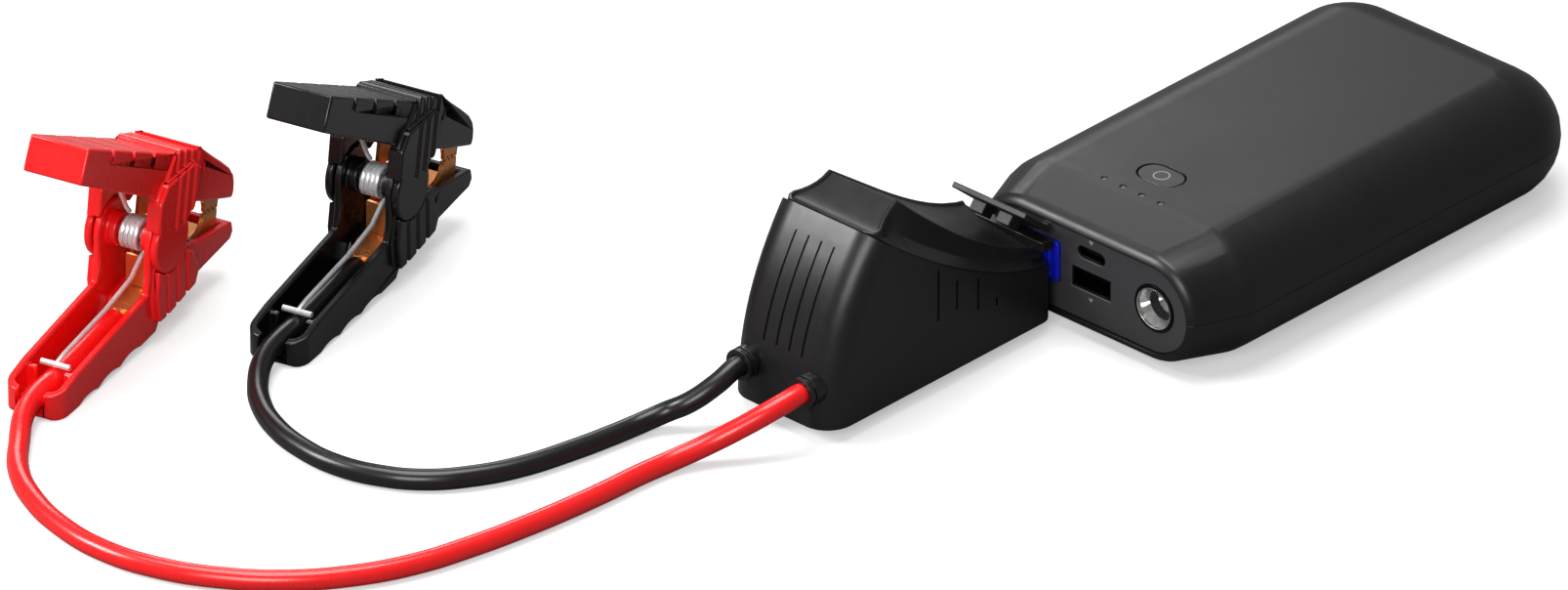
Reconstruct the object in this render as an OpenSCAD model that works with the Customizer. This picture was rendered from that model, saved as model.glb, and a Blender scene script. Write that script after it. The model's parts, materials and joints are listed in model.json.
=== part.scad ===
// Jump starter pack with a plugged-in lead set: two spring clamps on free cables.
// The origin is the middle of the pack's flat bottom. +Z is up and the sockets face -Y.
// All sizes are in millimetres.

/* [Pack] */
// Width of the pack across its sides
pack_w = 87; // [86:0.5:92]
// Length of the pack from its face to its rear end
pack_l = 148; // [146:1:165]
// Height of the pack
pack_h = 35; // [35:0.5:37]
// Wall of the two shells
pack_wall = 2.2; // [2:0.1:2.4]
// Radius of the rear corners, seen from above
rear_r = 20.5; // [20:0.5:24]
// How far the round edge reaches in from each side
edge_r = 18; // [17:0.5:19]
// Length over which the pack narrows to its face
nose_l = 20; // [20:0.5:26]
// Radius of the round edge around the face
lip_r = 3.6; // [3.2:0.1:4]

/* [Face] */
// Width of the inset front panel
panel_w = 70; // [69:0.5:71]
// Height of the inset front panel
panel_h = 25; // [24.5:0.5:26]
// Thickness of the front panel
panel_t = 2; // [1.6:0.1:2.4]
// Depth of the panel's front behind the lip
panel_inset = 1; // [0.8:0.1:1.2]
// Width of the lip around the panel
lip_w = 3; // [2.8:0.1:3.2]
// Distance of both data sockets from the middle of the face
usb_x = 1.5; // [0:0.5:2]
// Width of the large data socket
usb_a_w = 13.5; // [13:0.1:14]
// Height of the large data socket
usb_a_h = 6; // [5.8:0.1:6.4]
// Width of the small data socket
usb_c_w = 9.6; // [9.2:0.1:10]
// Height of the small data socket
usb_c_h = 3.5; // [3.4:0.1:3.8]
// Distance of the torch from the middle of the face
torch_x = 23.4; // [22:0.1:24]
// Diameter of the torch reflector
torch_d = 13.2; // [12:0.1:14]
// Depth of the torch reflector
torch_depth = 10; // [8:0.5:12]

/* [Output socket] */
// Distance of the output socket from the middle of the face
socket_x = -21.2; // [-21.6:0.1:-20.8]
// Width of the output socket
socket_w = 24; // [23.6:0.1:24]
// Height of the output socket
socket_h = 11.5; // [11.2:0.1:12]
// Depth of the output socket behind the panel
socket_depth = 18; // [17:0.5:20]
// Wall of the output socket
socket_wall = 1.5; // [1.5:0.1:1.7]
// Distance between the two contacts
pin_pitch = 11; // [10:0.5:12]
// Diameter of a plug pin
pin_d = 4.8; // [4.4:0.1:5]
// Width of the socket's cover
cover_w = 25.4; // [24.6:0.1:26]
// Length of the socket's cover from its hinge
cover_l = 13.6; // [13:0.1:14]
// Thickness of the cover
cover_t = 1.6; // [1.4:0.1:1.8]
// Angle of the open cover above level
cover_lift = 40; // [36:1:44]

/* [Button and lights] */
// Width of the power button
button_w = 13.5; // [12.5:0.1:14]
// Depth of the power button, front to back
button_l = 8.5; // [8:0.1:9]
// Travel of the power button
button_travel = 0.6; // [0.4:0.1:0.8]
// Gap around the power button
button_gap = 0.35; // [0.3:0.05:0.5]
// Distance of the button from the face
button_back = 31; // [30:0.5:32]
// Distance of the charge lights from the face
lights_back = 20; // [19:0.5:21]
// Distance between two charge lights
light_pitch = 6.5; // [6:0.1:7]
// Diameter of a charge light
light_d = 1.6; // [1.2:0.1:2]

/* [Inside the pack] */
// Width of a battery cell
cell_w = 50; // [46:1:50]
// Length of a battery cell
cell_l = 83; // [78:1:84]
// Thickness of a battery cell
cell_t = 8.4; // [8:0.1:8.5]
// Thickness of the circuit boards
board_t = 1.6; // [1.4:0.1:1.8]
// Diameter of the shell screws' shanks
screw_d = 2.6; // [2.4:0.1:2.8]

/* [Clamp module] */
// Width of the module
module_w = 36.4; // [36.2:0.1:38]
// Length of the module along its bottom
module_l = 85; // [84.5:0.5:87]
// Height of the module's crest above its underside
module_h = 53.6; // [53:0.2:54]
// Height of the side walls at the plug end
module_low = 15.5; // [15:0.1:16]
// Height of the side walls at the cable end
module_high = 50.2; // [49.8:0.1:50.8]
// Distance of the cable end's upper edge from the plug end
crest_s = 67; // [66:0.2:68]
// Height of the bottom cover
base_h = 5.8; // [5.4:0.1:6.4]
// Wall of the module
module_wall = 1.8; // [1.6:0.1:2]
// Gap between the module and the lip of the pack
module_gap = 1.6; // [1.4:0.1:2]
// Distance of the plug's middle from the module's +X side
plug_side = 12.6; // [12.6:0.1:13.2]
// Height of the plug's middle above the module's underside
plug_rise = 14.8; // [14.4:0.1:15.2]
// Distance between the two cables at the module
cable_pitch = 21.6; // [21:0.1:22]
// Height of the cables above the module's underside
cable_rise = 11; // [10.9:0.1:11.4]
// Diameter of the cables
cable_d = 5.66; // [5.4:0.02:5.8]

/* [Clamps] */
// Width of a clamp's handles
handle_w = 17; // [16.8:0.1:17.4]
// Width of a clamp over its hinge discs
hinge_w = 21.8; // [21.4:0.1:22.6]
// Wall of the clamp mouldings
clamp_wall = 2; // [1.8:0.1:2.2]
// Distance of the hinge from the end of the lower handle
hinge_d = 53; // [52:0.5:54]
// Height of the hinge above the ground
hinge_h = 27; // [26.5:0.1:27.5]
// Radius of the hinge discs
disc_r = 8.4; // [8:0.1:8.8]
// Diameter of the hinge pin
pivot_d = 3.2; // [3:0.1:3.4]
// Diameter of the spring wire
wire_d = 1.3; // [1.2:0.1:1.4]
// Outer diameter of the spring's coil
coil_d = 9.4; // [9:0.1:9.8]
// Number of turns of the spring
coil_turns = 4; // [3:1:4]
// Distance from the hinge to the tip of the jaw plates
jaw_l = 35.2; // [35:0.2:36.4]
// Thickness of the jaw plates
jaw_t = 1.2; // [1:0.1:1.4]
// Angle of the closed jaws below level
jaw_tilt = 11.5; // [11:0.5:12]
// Radius of the round cut-out in the jaws
grip_r = 5.6; // [5:0.1:6]

/* [Hidden] */

// Colours
plastic_black = "#2b2b2c";
plastic_grey = "#38393a";
signal_red = "#e01d1d";
plug_blue = "#1426c8";
copper = "#c4713a";
steel = "#c9cacc";

// Clearances
fit = 0.1;
slip = 0.05;
apart = 0.3;

// Places of the pack
face_y = -pack_l / 2;
rear_y = pack_l / 2;
seam_z = pack_h / 2;
nose_r = panel_h / 2 + lip_w;
panel_front = face_y + panel_inset;
panel_back = panel_front + panel_t;
flange_t = 1.2;
flange_back = panel_back + flange_t;
edge_steps = 16;
far = 400;

// Screws of the pack
post_r = 3.2;
boss_x = pack_w / 2 - 11.3;
boss_front = face_y + 26;
boss_rear = rear_y - 21;
head_r = screw_d / 2 + 1.1;
head_h = 1.8;
head_z = 8;
screw_top = seam_z + 8;

// Circuit board of the pack
board_z = 20.2;
board_front = flange_back + 0.6;
board_back = face_y + 44;
board_neck = 10;
board_half = 25;
board_shoulder = face_y + 23;
board_post_x = 20;
board_post_y = face_y + 38;

// Cells of the battery
cell_front = board_back + 3;
cell_gap = 0.2;
cell_z = pack_wall + 0.4;
cells_top = cell_z + 3 * cell_t + 2 * cell_gap;

// Data sockets
usb_shell = 0.5;
usb_depth = 14;
usb_a_z = board_z - usb_a_h / 2 - 0.6;
usb_c_z = board_z + board_t + usb_c_h / 2 + 1.1;
usb_c_depth = 8;

// Torch
torch_z = seam_z + 0.2;
lens_t = 1;
bulb_r = 2.2;

// Output socket and plug
socket_z = seam_z + 1.2;
socket_proud = 0.8;
socket_corner = 1.2;
socket_front = panel_front - socket_proud;
socket_back = panel_front + socket_depth;
tube_r = pin_d / 2 + slip + 0.55;
tube_front = socket_front + 3;
nose_w = socket_w - 2 * socket_wall - 2 * fit;
nose_h = socket_h - 2 * socket_wall - 2 * fit;
nose_reach = 12;
tail_side = 7;
tail_w = nose_w / 2 + tail_side;
tail_h = nose_h - 1.2;
tail_pin_r = 1.2;
pin_tip = tube_front + 9.5;
socket_floor = socket_back - 2.4;

// Cover of the output socket
hinge_out = 1.5;
cover_y = panel_front - hinge_out;
cover_z = seam_z + panel_h / 2 - 2;
cover_pin_r = 0.55;
barrel_r = 1.15;
lug_w = 2;
rib_w = 4.6;
rib_h = 3.2;
rib_gap = 4.6;
cover_x = socket_x - 1.9;
barrel_l = 9.4;
barrel_x = socket_x + 1.7;

// Button
button_x = -1.5;
button_y = face_y + button_back;
lights_y = face_y + lights_back;
button_top = pack_h - 0.1;
flange_w = 0.8;
button_foot = 1.5;
switch_h = 3.5;
switch_top = board_z + board_t + switch_h;

// Module
plug_x = module_w / 2 - plug_side;
module_x = socket_x - plug_x;
module_y = face_y - module_gap;
module_z = socket_z - plug_rise;
front_corner = 4;
cable_corner = 8;
deck_w = module_w - 8.8;
crest_w = deck_w - 3.2;
deck_start = 1;
deck_end = crest_s - 1;
deck_crest = crest_s - 14.2;
deck_low = module_low + 3.9;
deck_lip = 0.4;
deck_edge = 1;
deck_dip = 0.7;
deck_tilt = 3.2;
ledge_w = 4.4;
curve_steps = 14;
module_screw_x = module_w / 2 - 3.8;
module_screw_at = [[-module_screw_x, 4.4], [module_screw_x, 4.4], [0, module_l - 4.4]];
module_screw_r = 1.2;
module_head_r = 2.2;
module_head_h = 1.2;
module_boss_r = 2.6;
module_boss_h = 3.4;
board_s = [14, module_l - 11];
board_stand_s = [24, module_l - 23];
module_board_w = module_w - 8.4;
module_board_z = 4.2;
groove_w = 0.7;
groove_t = 0.5;
side_groove_t = 1.1;
groove_pitch = 4.4;
side_groove_at = [[44.4, 17, 31.8], [37.4, 17.5, 26], [29.4, 14, 23.3], [22.4, 12.5, 15]];

// Cables, in pairs: red first, black second
cable_r = cable_d / 2;
cable_off = [cable_pitch / 2, -cable_pitch / 2];
cable_in_y = module_y - module_l + 12.6;
cable_z = module_z + cable_rise;
grommet_out = 2.9;
grommet_r = cable_r + 1.5;

// Clamps, in pairs: red first, black second
clamp_at = [[-170, -285], [-144, -223]];
clamp_turn = 104.4;
floor_t = 2;
foot_l = 12;
end_out = 2.2;
end_r = 5;
entry_w = cable_d + 1.8;
entry_z = 1.3;
flat_l = hinge_d - 5;
bottom_rise = 2.4;
floor_rise = 1.75;
jaw_end = hinge_d + jaw_l;
disc_in = handle_w / 2 + apart;
coil_pitch = wire_d + 0.08;
coil_w = coil_turns * coil_pitch + wire_d;
cable_end_d = flat_l - 6;
cable_end_h = 6.8;
cable_lift = floor_t + cable_r + 0.15;
plate_y = handle_w / 2 - clamp_wall - 0.7 - jaw_t;
tooth = 2;
tooth_h = 1.3;
teeth_at = 26.4;
jaw_reach = jaw_l - 2.6;
grip_p = 20;
grip_slope = 27.5;
grip_groove_x = [-26, -15.5, -5.2];
grip_groove_w = 1.2;
grip_groove_t = 1.1;
grip_groove_l = 3.2;
rib_groove_x = [1, 5, 9, 13];
band_groove_x = [2.5, 6.2, 9.9, 13.6];
finger_r = 14;
bar_d = 11.3;
bar_r = 0.8;
bar_h = cable_lift + cable_r + bar_r + 0.15;
bar_l = 8.5;

// The straight start of a cable's route inside the module and its sleeve
function cable_start(i) = [
    for (back = [0, 7, 16])
        [module_x + cable_off[i], cable_in_y - back, cable_z]
];

// Route of the red cable from the module to its clamp, chosen by hand
red_route = concat(cable_start(0), [
    [-17.4, -171, 13.4],
    [-21.6, -179, 9.6], [-27, -187, 5.4], [-30.6, -195.5, 3.2], [-32, -206, 2.9],
    [-32.5, -218, 2.9], [-33.5, -231, 2.9], [-35.2, -245, 2.9], [-38, -261, 2.9],
    [-42.5, -278, 2.9], [-50, -293, 2.9], [-60.5, -306, 2.9], [-74, -316.5, 2.9],
    [-89, -323.5, 2.9], [-105, -326.5, 2.9], [-121, -325, 2.9], [-136, -320, 2.9],
    [-149, -312, 2.9], [-159, -301.5, 3.1], [-166.5, -292, 4.3], [-170.5, -283, 5],
    [-172.6, -275, 5], [-176.5, -259.8, 5.9], [-179.5, -248.2, 6.8], [-180.4, -244.3, 6.8]
]);
// Route of the black cable from the module to its clamp, chosen by hand
black_route = concat(cable_start(1), [
    [-38.4, -170.5, 12.2],
    [-42, -177, 8], [-46.6, -181, 5], [-49.6, -187.5, 3.2], [-51, -196, 2.9],
    [-53, -208, 2.9], [-57, -224, 2.9], [-62.5, -235.5, 2.9], [-70, -245, 2.9],
    [-80, -251.5, 2.9], [-92, -255, 2.9], [-104, -254.8, 2.9], [-116, -251.8, 2.9],
    [-127, -246, 2.9], [-135.5, -238.5, 3.1], [-141.5, -230, 4.3], [-144.5, -221.1, 5],
    [-146.6, -213, 5], [-150.5, -197.8, 5.9], [-153.5, -186.2, 6.8], [-154.4, -182.3, 6.8]
]);

// Points along an arc from angle a0 to angle a1
function arc(centre, r, a0, a1, steps) = [
    for (i = [0:steps])
        let (a = a0 + (a1 - a0) * i / steps)
        centre + r * [cos(a), sin(a)]
];

// A 2D bar with round ends
module stadium(w, h) {
    square([w - h, h], center = true);
    for (side = [-1, 1])
        translate([side * (w - h) / 2, 0]) circle(d = h, $fn = 48);
}

// A stadium plate that faces -Y, from y0 to y1
module face_plate(w, h, y0, y1) {
    translate([0, y1, seam_z]) rotate([90, 0, 0]) linear_extrude(y1 - y0) stadium(w, h);
}

// A block with round corners of radius r, centred on x and z, from y0 to y1
module round_block(x, z, w, h, r, y0, y1) {
    translate([x, y1, z]) rotate([90, 0, 0]) linear_extrude(y1 - y0) {
        square([w - 2 * r, h], center = true);
        square([w, h - 2 * r], center = true);
        for (i = [-1, 1], j = [-1, 1])
            translate([i * (w / 2 - r), j * (h / 2 - r)]) circle(r = r, $fn = 32);
    }
}

// A block centred on x and z, from y0 to y1
module face_block(x, z, w, h, y0, y1) {
    translate([x - w / 2, y0, z - h / 2]) cube([w, y1 - y0, h]);
}

// A rod along Y, from y0 to y1
module rod_y(x, z, r, y0, y1) {
    translate([x, y1, z]) rotate([90, 0, 0]) cylinder(r = r, h = y1 - y0, $fn = 48);
}

// ---------- Pack: shells ----------

// A disc with an elliptical edge: flat radius, edge radius and half height
module pillow_disc(flat, reach, half) {
    rotate_extrude($fn = 36) polygon(concat(
        [[0, -half]],
        [for (i = [0:edge_steps])
            let (a = -90 + 180 * i / edge_steps)
            [flat + reach * cos(a), half * sin(a)]],
        [[0, half]]));
}

// One end of the face: a disc with a round front edge
module nose_disc(r, edge) {
    rotate([-90, 0, 0]) rotate_extrude($fn = 40) polygon(concat(
        [[0, 0]],
        arc([r - edge, edge], edge, -90, 0, 5),
        [[0, edge]]));
}

// The pillow shape of the pack, smaller by inset, from y = front
module pillow(inset, front, edge) {
    half = pack_h / 2 - inset;
    translate([0, 0, seam_z]) hull() {
        for (side = [-1, 1]) {
            translate([side * (pack_w / 2 - rear_r), rear_y - rear_r, 0])
                pillow_disc(rear_r - edge_r, edge_r - inset, half);
            translate([side * (pack_w / 2 - edge_r), face_y + nose_l, 0])
                pillow_disc(0, edge_r - inset, half);
            translate([side * (panel_w / 2 + lip_w - nose_r), front, 0])
                nose_disc(nose_r - inset, edge);
        }
    }
}

module pack_shape() {
    pillow(0, face_y, lip_r);
}

module pack_cavity() {
    pillow(pack_wall, panel_back, 0.2);
}

// The middle of the wall, where the screw bosses end
module boss_limit() {
    pillow(pack_wall / 2, face_y + pack_wall / 2, lip_r);
}

module at_bosses() {
    for (x = [-boss_x, boss_x], y = [boss_front, boss_rear])
        translate([x, y, 0]) children();
}

module panel_opening() {
    face_plate(panel_w, panel_h, face_y - 1, panel_back + 1);
}

module bottom_shell() {
    color(plastic_black) difference() {
        union() {
            difference() {
                pack_shape();
                pack_cavity();
                translate([-far / 2, -far / 2, seam_z]) cube([far, far, far]);
            }
            intersection() {
                boss_limit();
                at_bosses() cylinder(r = post_r, h = seam_z, $fn = 32);
            }
            for (x = [-board_post_x, board_post_x])
                translate([x, board_post_y, pack_wall / 2])
                    cylinder(r = post_r, h = board_z - pack_wall / 2, $fn = 32);
        }
        panel_opening();
        at_bosses() {
            translate([0, 0, -1]) cylinder(r = head_r + fit, h = head_z + 1, $fn = 32);
            cylinder(r = screw_d / 2 + fit, h = far, $fn = 32);
        }
        for (x = [-board_post_x, board_post_x])
            translate([x, board_post_y, board_z - 8])
                cylinder(r = screw_d / 2 + slip, h = far, $fn = 32);
    }
}

module top_shell() {
    color(plastic_black) difference() {
        union() {
            difference() {
                pack_shape();
                pack_cavity();
            }
            intersection() {
                boss_limit();
                at_bosses() cylinder(r = post_r - 0.2, h = pack_h, $fn = 32);
            }
        }
        translate([-far / 2, -far / 2, seam_z - far]) cube([far, far, far]);
        panel_opening();
        at_bosses() cylinder(r = screw_d / 2 + slip, h = screw_top + 1, $fn = 32);
        translate([button_x, button_y, seam_z]) linear_extrude(far)
            stadium(button_w + 2 * button_gap, button_l + 2 * button_gap);
        at_lights() cylinder(r = light_d / 2 + slip, h = far, $fn = 24);
    }
}

module shell_screws() {
    color(steel) at_bosses() {
        translate([0, 0, head_z - head_h]) difference() {
            cylinder(r = head_r, h = head_h, $fn = 32);
            translate([0, 0, -1]) cylinder(r = 0.9, h = 2, $fn = 6);
        }
        translate([0, 0, head_z]) cylinder(r = screw_d / 2, h = screw_top - head_z, $fn = 32);
    }
}

// ---------- Pack: face ----------

module front_panel() {
    flange_w_all = panel_w + 2 * (lip_w - pack_wall) - 2 * fit;
    flange_h_all = panel_h + 2 * (lip_w - pack_wall) - 2 * fit;
    color(plastic_grey) difference() {
        union() {
            face_plate(panel_w - 2 * fit, panel_h - 2 * fit, panel_front, panel_back + slip);
            face_plate(flange_w_all, flange_h_all, panel_back + slip, flange_back);
            for (side = [-1, 1]) cover_lug(side);
        }
        face_block(socket_x, socket_z, socket_w + 2 * fit, socket_h + 2 * fit, face_y, flange_back + 1);
        face_block(usb_x, usb_a_z, usb_a_w, usb_a_h, face_y, flange_back + 1);
        translate([usb_x, flange_back + 1, usb_c_z]) rotate([90, 0, 0]) linear_extrude(10)
            stadium(usb_c_w, usb_c_h);
        rod_y(torch_x, torch_z, torch_d / 2 + fit, face_y, flange_back + 1);
        translate([barrel_x - far / 2, cover_y, cover_z]) rotate([0, 90, 0])
            cylinder(r = cover_pin_r + slip, h = far, $fn = 24);
    }
}

// One of the two small lugs that hold the cover's pin
module cover_lug(side) {
    x = barrel_x + side * (barrel_l / 2 + apart + lug_w / 2) - lug_w / 2;
    translate([x, cover_y, cover_z]) rotate([0, 90, 0]) cylinder(r = barrel_r, h = lug_w, $fn = 32);
    translate([x, cover_y, cover_z - barrel_r]) cube([lug_w, panel_front - cover_y + 0.5, 2 * barrel_r]);
}

module cover_hinge_pin() {
    pin_l = barrel_l + 2 * apart + 2 * lug_w - 0.4;
    color(steel) translate([barrel_x - pin_l / 2, cover_y, cover_z]) rotate([0, 90, 0])
        cylinder(r = cover_pin_r, h = pin_l, $fn = 24);
}

module socket_cover() {
    rib_x = (rib_w + rib_gap) / 2;
    color(plastic_black) translate([barrel_x, cover_y, cover_z]) rotate([-cover_lift, 0, 0])
        difference() {
            union() {
                translate([-barrel_l / 2, 0, 0]) rotate([0, 90, 0])
                    cylinder(r = barrel_r, h = barrel_l, $fn = 32);
                translate([-barrel_l / 2, -3, -barrel_r + 0.2]) cube([barrel_l, 3, cover_t]);
                translate([cover_x - barrel_x, 0, 0]) {
                    translate([-cover_w / 2, -cover_l, -barrel_r + 0.2])
                        cube([cover_w, cover_l - barrel_r - 0.6, cover_t]);
                    for (side = [-1, 1])
                        translate([side * rib_x - rib_w / 2, -cover_l + 3, -barrel_r + 0.2 - rib_h])
                            cube([rib_w, rib_w, rib_h + 0.1]);
                }
            }
            translate([-far / 2, 0, 0]) rotate([0, 90, 0])
                cylinder(r = cover_pin_r + slip, h = far, $fn = 24);
        }
}

module usb_a_socket() {
    w = usb_a_w - 2 * fit;
    h = usb_a_h - 2 * fit;
    y0 = panel_front + 0.4;
    color(steel) {
        difference() {
            face_block(usb_x, usb_a_z, w, h, y0, y0 + usb_depth);
            face_block(usb_x, usb_a_z, w - 2 * usb_shell, h - 2 * usb_shell, y0 - 1, y0 + usb_depth - 1);
        }
        face_block(usb_x, usb_a_z + 0.9, w - 3, 1.6, y0 + 2, y0 + usb_depth - 0.5);
        face_block(usb_x, usb_a_z + h / 2 + 0.3, w - 2, board_z - usb_a_z - h / 2,
            board_front, y0 + usb_depth);
    }
}

module usb_c_socket() {
    w = usb_c_w - 2 * fit;
    h = usb_c_h - 2 * fit;
    y0 = panel_front + 0.4;
    y1 = y0 + usb_c_depth;
    base_z = board_z + board_t;
    color(steel) {
        difference() {
            translate([usb_x, y1, usb_c_z]) rotate([90, 0, 0]) linear_extrude(y1 - y0) stadium(w, h);
            translate([usb_x, y1 - 1, usb_c_z]) rotate([90, 0, 0]) linear_extrude(far)
                stadium(w - 2 * usb_shell, h - 2 * usb_shell);
        }
        face_block(usb_x, usb_c_z, w - 3, 0.7, y0 + 1, y1 - 0.5);
        translate([usb_x - w / 2 + 1, board_front, base_z])
            cube([w - 2, y1 - board_front, usb_c_z - base_z - h / 2 + 0.1]);
    }
}

module torch_reflector() {
    r = torch_d / 2;
    y1 = panel_front + torch_depth;
    color(steel) difference() {
        union() {
            rod_y(torch_x, torch_z, r, panel_front - 0.3, flange_back);
            rod_y(torch_x, torch_z, r + 1, flange_back + slip, flange_back + 1);
            rod_y(torch_x, torch_z, r - 1, flange_back, y1);
        }
        translate([torch_x, y1 - 1.5, torch_z]) rotate([90, 0, 0])
            cylinder(r1 = bulb_r + 0.4, r2 = r - 1, h = torch_depth - 2.6, $fn = 48);
        rod_y(torch_x, torch_z, r - 1, panel_front - 1, panel_front + 1.2);
        rod_y(torch_x, torch_z, bulb_r + 0.4, y1 - 3, y1 + 1);
    }
}

module torch_lens() {
    y0 = panel_front - 0.2;
    color("#dfe4e8") rod_y(torch_x, torch_z, torch_d / 2 - 1 - fit, y0, y0 + lens_t);
}

module torch_led() {
    y1 = panel_front + torch_depth;
    color("#e8d86a") {
        rod_y(torch_x, torch_z, bulb_r, y1 - 2.6, y1 + 0.4);
        rod_y(torch_x, torch_z, torch_d / 2 - 1, y1 + 0.2, y1 + board_t);
    }
}

// A contact place: both contacts of the output socket
module at_contacts() {
    for (side = [-1, 1])
        translate([socket_x + side * pin_pitch / 2, 0, socket_z]) children();
}

module output_socket_housing() {
    inner_w = socket_w - 2 * socket_wall;
    inner_h = socket_h - 2 * socket_wall;
    color(plug_blue) difference() {
        union() {
            round_block(socket_x, socket_z, socket_w, socket_h, socket_corner, socket_front, socket_back);
            face_block(socket_x, socket_z, socket_w + 0.6, socket_h + 0.8,
                flange_back + slip, flange_back + 1.5);
        }
        face_block(socket_x, socket_z, inner_w, inner_h, socket_front - 1, socket_floor);
        at_contacts() rod_y(0, 0, tube_r + slip, socket_front, socket_back + 1);
    }
}

module output_socket_contacts() {
    color("#d8b25a") at_contacts() difference() {
        union() {
            rod_y(0, 0, tube_r, tube_front, socket_back + 4);
            rod_y(0, 0, tube_r + 0.5, socket_back + slip, socket_back + 1);
        }
        rod_y(0, 0, pin_d / 2 + slip, tube_front - 1, pin_tip + 1);
    }
}

// ---------- Pack: button, lights, board and cells ----------

module at_lights() {
    for (i = [0:3])
        translate([button_x + (i - 1.5) * light_pitch, lights_y, seam_z]) children();
}

module power_button() {
    w = button_w;
    l = button_l;
    flange_z = pack_h - pack_wall - flange_w - apart;
    foot_z = switch_top + slip;
    color(plastic_grey) translate([button_x, button_y, 0]) {
        translate([0, 0, flange_z]) linear_extrude(button_top - flange_z) stadium(w, l);
        translate([0, 0, flange_z]) linear_extrude(flange_w) stadium(w + 2, l + 2);
        translate([0, 0, foot_z]) cylinder(r = button_foot, h = flange_z - foot_z + 0.2, $fn = 32);
    }
}

module button_switch() {
    z = board_z + board_t;
    color(plastic_black) translate([button_x, button_y, z]) {
        translate([-3, -3, 0]) cube([6, 6, switch_h - button_travel - 0.2]);
        cylinder(r = 1.7, h = switch_h - button_travel - 0.1, $fn = 32);
    }
}

module led_light_pipes() {
    color("#e8eef2") at_lights()
        translate([0, 0, board_z + board_t - seam_z])
            cylinder(r = light_d / 2, h = light_top(lights_y) - board_z - board_t, $fn = 24);
}

// Height at which the light pipes end, just under the sloping top
function light_top(y) =
    pack_h - (pack_h / 2 - nose_r) * max(face_y + nose_l - y, 0) / (nose_l - lip_r) - 0.25;

module main_circuit_board() {
    color("#1f5a35") translate([0, 0, board_z]) difference() {
        union() {
            translate([usb_x - board_neck, board_front, 0])
                cube([2 * board_neck, board_back - board_front, board_t]);
            translate([-board_half, board_shoulder, 0])
                cube([2 * board_half, board_back - board_shoulder, board_t]);
            translate([board_half - 17, board_shoulder + 8, board_t]) cube([9, 9, 1.6]);
            translate([3 - board_half, board_shoulder + 2, board_t]) cube([7, 9, 4]);
        }
        for (x = [-board_post_x, board_post_x])
            translate([x, board_post_y, -1]) cylinder(r = screw_d / 2 + fit, h = board_t + 2, $fn = 32);
    }
}

module board_screws() {
    color(steel) for (x = [-board_post_x, board_post_x])
        translate([x, board_post_y, board_z + board_t]) {
            cylinder(r = head_r, h = head_h, $fn = 32);
            translate([0, 0, -board_t - 6]) cylinder(r = screw_d / 2, h = board_t + 6.1, $fn = 32);
        }
}

module battery_cells() {
    color("#8f959c") for (i = [0:2])
        translate([-cell_w / 2, cell_front, cell_z + i * (cell_t + cell_gap)])
            cube([cell_w, cell_l, cell_t]);
}

module cell_foam_pad() {
    inset = 6;
    color("#5a5d60") translate([-cell_w / 2 + inset, cell_front + inset, cells_top + cell_gap])
        cube([cell_w - 2 * inset, cell_l - 2 * inset, pack_h - pack_wall - apart - cells_top - cell_gap]);
}

// ---------- Clamp module ----------

// Height of the side walls at distance s from the plug end
function wall_top(s) = module_low + (module_high - module_low) * pow(max(s, 0) / crest_s, 1.55);
// The same height on the straight pieces that the body's upper edge is made of
function wall_line(s) =
    let (step = crest_s / curve_steps,
        i = max(min(floor(s / step), curve_steps - 1), 0),
        share = s / step - i)
    (1 - share) * wall_top(step * i) + share * wall_top(step * (i + 1));
// Height of the rim's near side at distance s from the plug end
function deck_top(s) = s < deck_crest
    ? deck_low + (module_h - deck_low) * pow(max(s, 0) / deck_crest, 1.45)
    : deck_end_h + (module_h - deck_end_h) * pow((deck_end - s) / (deck_end - deck_crest), 2);
deck_end_h = wall_top(deck_end) + deck_lip + 0.1;
// Reach of the cable end at height z above the underside
function end_reach(z) = crest_s + (module_l - crest_s) * (1 - pow(z / module_high, 2.1));

// Side view of the module's sloping top, lower by inset, from height low upward
function module_side(inset, low) = concat(
    [[1, low], [1, module_low - inset]],
    [for (i = [0:curve_steps])
        let (s = crest_s * i / curve_steps)
        [-s, wall_top(s) - inset]],
    [[-module_l - 1, module_high - inset], [-module_l - 1, low]]);

// Plan view of the module with its cable end at reach, smaller by inset
function module_plan(inset, reach) =
    let (half = module_w / 2 - inset, a = front_corner - inset, b = cable_corner - inset)
    concat(
        arc([half - a, -inset - a], a, 0, 90, 4),
        arc([-half + a, -inset - a], a, 90, 180, 4),
        arc([-half + b, -reach + inset + b], b, 180, 270, 8),
        arc([half - b, -reach + inset + b], b, 270, 360, 8));

// An extrusion of a side view over the width w
module side_slab(w, points) {
    translate([-w / 2, 0, 0]) rotate([90, 0, 90]) linear_extrude(w) polygon(points);
}

module module_form(inset, low) {
    intersection() {
        side_slab(module_w, module_side(inset, low));
        hull() for (i = [0:curve_steps]) {
            z = module_high * i / curve_steps;
            translate([0, 0, z]) linear_extrude(0.01) polygon(module_plan(inset, end_reach(z)));
        }
    }
}

module at_module() {
    translate([module_x, module_y, module_z]) children();
}

module at_module_screws() {
    for (place = module_screw_at) translate([place[0], -place[1], 0]) children();
}

// How far a round corner of radius r takes off the side at distance d from its end
function corner_drop(r, d) = d < r ? r - sqrt(max(r * r - (r - d) * (r - d), 0)) : 0;

// Half width of the deck's foot at distance s from the plug end
function foot_half(s) = module_w / 2 - 0.6
    - corner_drop(front_corner, s)
    - corner_drop(cable_corner, crest_s - s);

// Half width of the deck's rim: past the crest it flares out to the foot
function rim_half(s) = s < deck_crest
    ? min(deck_w / 2 - s / deck_crest * (deck_w - crest_w) / 2, foot_half(s) - 1)
    : let (share = pow((s - deck_crest) / (deck_end - deck_crest), 2))
        min(crest_w / 2 + share * (module_w - crest_w) / 2, foot_half(s) - 0.3);

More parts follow.
